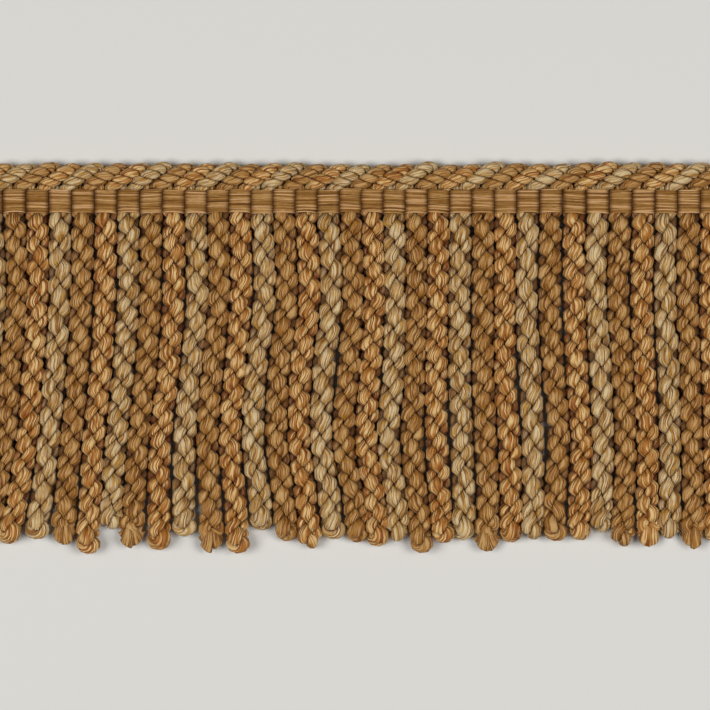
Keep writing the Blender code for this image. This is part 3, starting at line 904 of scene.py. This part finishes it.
def warp_arches(name, crown, dip, facing, rings, seed):
    """Tubes x = middle + t · half, z = crown - dip (1 - (1 - |t|^5)^½) - round t².

    t goes from -1 to 1. At the back, facing is -1 and the arch is turned over.
    """
    rng = np.random.default_rng(seed)
    tubes = COUNT * WARPS_PER_RIB
    rib = np.repeat(np.arange(COUNT), WARPS_PER_RIB)
    slot = np.tile(np.arange(WARPS_PER_RIB), COUNT)
    place = 0.5 - (slot + 0.5) / WARPS_PER_RIB
    t = np.sin(np.linspace(-1, 1, rings) * math.pi / 2)
    slant = rng.normal(0, 1, COUNT)[rib] * RIB_SLANT
    shift = rng.normal(0, 1, COUNT)[rib] * RIB_SHIFT
    bow = LIFT * np.clip(-2 * place, 0, 1) ** 2 - BOW * place
    bow = bow * rng.uniform(0.4, 1.3, COUNT)[rib]
    wobble = rng.normal(0, SIDE_SLACK, (tubes, 1)) + rng.normal(0, 1.2 * SIDE_SLACK, (tubes, 1)) * t
    x = rib_centre(rib)[:, None] + ARCH_HALF * t + rng.normal(0, SIDE_SLACK, (tubes, 1))
    x = x + drift(rib_centre(rib))[:, None]
    y = (place * (WARPS_HIGH - 2 * WARP_RADIUS) - WARPS_DOWN + shift)[:, None]
    y = y + slant[:, None] * t + wobble + bow[:, None] * (1 - t**2)
    bulge = (2 * np.abs(place)) ** 4 * EDGE_DROP + rng.normal(0, SIDE_SLACK, tubes)
    arch = dip * (1 - np.sqrt(1 - np.abs(t) ** 5)) + ARCH_ROUND * t**2
    z = crown - facing * (arch[None] + np.abs(bulge)[:, None])
    line = np.stack([x, y, z], -1)

    tangent = unit(np.gradient(line, axis=1))
    first = unit(np.cross(tangent, np.array([0.0, 1.0, 0.0])))
    second = np.cross(first, tangent)
    side = even_turns(WARP_SIDES)[:-1] * 2 * math.pi
    ring = np.cos(side)[:, None] * first[:, :, None] + np.sin(side)[:, None] * second[:, :, None]
    radius = WARP_RADIUS * rng.uniform(0.9, 1.1, (tubes, 1, 1, 1))
    points = line[:, :, None] + radius * ring
    turns = rng.uniform(0, 1, (tubes, 1, 1)) + np.ones((1, rings, 1)) * even_turns(WARP_SIDES)
    lengths = (x - x[:, :1]) / MM + rng.uniform(0, 900, (tubes, 1))
    # painted shade in the grooves between ribs, and a little on each warp's flanks
    flank = 0.26 * (1 - np.cos(side)) ** 1.5
    hollow = np.maximum((np.abs(t) ** 4 * 0.88)[None, :, None], flank[None, None])
    own = np.array([[WARP_SHADES[letter] for letter in row] for row in WARPS])
    shade = own[(rib + 1) % 2, slot] + rng.normal(0, WARP_SPREAD, tubes)
    return tubes_mesh(name, points, turns, lengths, hollow, shade[:, None, None])


print("each rib has", WARPS_PER_RIB, "warps, about", round(2000 * WARP_RADIUS, 2), "mm thick")

# %% The core and the band's pieces
CORE_RINGS_PER_RIB = 12
CORE_SIDES = 16
CORE_SQUARENESS = 4
CORE_DIP = 1.3 * MM
CORE_INSET = 0.25 * MM
CUT_LENGTH = 0.5 * MM  # from the band's end: the stretch that shows the yarn's own colour
ENDS_PER_WARP = 3
WARP_DRIFT_MM = 14.0


def band_core():
    """A tube along the band: |y|^4 + |z|^4 = 1 across it, its top following the ribs."""
    rings = COUNT * CORE_RINGS_PER_RIB + 1
    rib = np.linspace(-COUNT / 2, COUNT / 2, rings)
    t = 2 * np.abs(rib - np.floor(rib + 0.5))
    crest = FRONT_CROWN - WARP_RADIUS - CORE_DIP * t**5
    corner = even_turns(CORE_SIDES)[:-1] * 2 * math.pi
    power = CORE_SQUARENESS
    reach = (np.abs(np.cos(corner)) ** power + np.abs(np.sin(corner)) ** power) ** (-1 / power)
    y = np.cos(corner) * reach * (WARPS_HIGH / 2 - CORE_INSET) - WARPS_DOWN
    level = np.sin(corner) * reach * 0.5 + 0.5
    z = BACK_CROWN + level[None] * (crest[:, None] - BACK_CROWN)
    x = rib * RIB_PITCH
    x = x + drift(x)
    grid = np.stack([x[:, None] + 0 * z, y + 0 * z, z], -1)[None]
    turns = np.ones((1, rings, 1)) * even_turns(CORE_SIDES)
    # painted shade behind the warps, and the yarn's own colour where the band is cut off
    cut_end = ease(np.abs(x), x[-1] - CUT_LENGTH, x[-1])[None, :, None]
    hollow = 0.9 - 0.75 * cut_end
    return tubes_mesh("band_core", grid[:, :, ::-1], turns, x[None] / MM, hollow, 0.45)


warp_yarn = yarn_material(
    "band_yarn", BAND_WARPS, ENDS_PER_WARP, WARP_DRIFT_MM, BAND_HOLLOW_SHADE, uneven=0.25
)
band = [
    warp_arches("band_warps_front", FRONT_CROWN, FRONT_DIP, 1, WARP_RINGS, seed=7),
    warp_arches("band_warps_back", BACK_CROWN, BACK_DIP, -1, BACK_RINGS, seed=8),
    band_core(),
]
for piece in band:
    finish_piece(piece, warp_yarn, "woven_band")
print("band:", [len(piece.data.polygons) * 2 for piece in band], "triangles")

# %% [markdown]
# ## The table, the light and the camera
# The fringe lies on a pale matt table. Two large soft panels light it from the left and the
# right, a little towards the tips, as over a copying stand, so the narrow gaps between bullions
# stay dark, and a dim even surround fills the rest. The camera looks straight down through a
# long lens, which keeps the bullions parallel.

# %% Stage
PHOTO_WIDTH = 220.6 * MM  # what the picture takes in, at the level of the bullions' middle
PHOTO_MIDDLE = (1.35 * MM, -47.85 * MM)
CAMERA_HEIGHT = 1.6
TABLE_HALF = 3.0
TABLE_LEVEL = -0.02 * MM
PANEL_SIZE = 0.8
PANEL_AIM = (0, -0.04, 0)


def stage():
    """A pale table with matt paint, a hair below the fringe."""
    mesh = bpy.data.meshes.new("table")
    signs = [(-1, -1), (1, -1), (1, 1), (-1, 1)]
    corners = [(TABLE_HALF * x, TABLE_HALF * y, TABLE_LEVEL) for x, y in signs]
    mesh.from_pydata(corners, [], [(0, 1, 2, 3)])
    table = bpy.data.objects.new("table", mesh)
    bpy.context.scene.collection.objects.link(table)
    material = bpy.data.materials.new("matt_paint")
    material.use_nodes = True
    shader = material.node_tree.nodes["Principled BSDF"]
    shader.inputs["Base Color"].default_value = (*linear("#d5d4cf"), 1.0)
    shader.inputs["Roughness"].default_value = 0.85
    shader.inputs["Specular IOR Level"].default_value = 0.2
    mesh.materials.append(material)


def panel(name, place, watts):
    """A square soft white light at a place, turned towards the fringe."""
    data = bpy.data.lights.new(name, "AREA")
    data.size = PANEL_SIZE
    data.energy = watts
    data.color = linear("#fffeff")
    light = bpy.data.objects.new(name, data)
    away = unit(np.array(place) - PANEL_AIM)
    light.location = place
    light.rotation_euler = (math.acos(away[2]), 0, math.atan2(away[1], away[0]) + math.pi / 2)
    bpy.context.scene.collection.objects.link(light)


stage()
panel("left_panel", (-0.88, -0.14, 1.38), watts=16.4)
panel("right_panel", (0.88, -0.14, 1.38), watts=15.7)

world = bpy.data.worlds.new("surround")
bpy.context.scene.world = world
world.use_nodes = True
surround = world.node_tree.nodes["Background"]
surround.inputs["Color"].default_value = (*linear("#f5f1ea"), 1.0)
surround.inputs["Strength"].default_value = 0.10
bpy.context.scene.view_settings.view_transform = "Standard"
print("a table and two panels of light,", PANEL_SIZE, "m wide")

# %% Camera
lens = bpy.data.cameras.new("long_lens")
lens.sensor_width = 36.0
lens.lens = lens.sensor_width * (CAMERA_HEIGHT - BULLION_LEVEL) / PHOTO_WIDTH
lens.clip_end = 20
camera = bpy.data.objects.new("camera", lens)
camera.location = (*PHOTO_MIDDLE, CAMERA_HEIGHT)
bpy.context.scene.collection.objects.link(camera)
bpy.context.scene.camera = camera
print("lens", round(lens.lens), "mm at", CAMERA_HEIGHT, "m")

# %% Sizes, and the end
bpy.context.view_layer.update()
pieces = [*bullions, *fans, *leans, *band]
triangles = sum(len(face.vertices) - 2 for piece in pieces for face in piece.data.polygons)
print(len(pieces), "pieces of", triangles, "triangles in all")
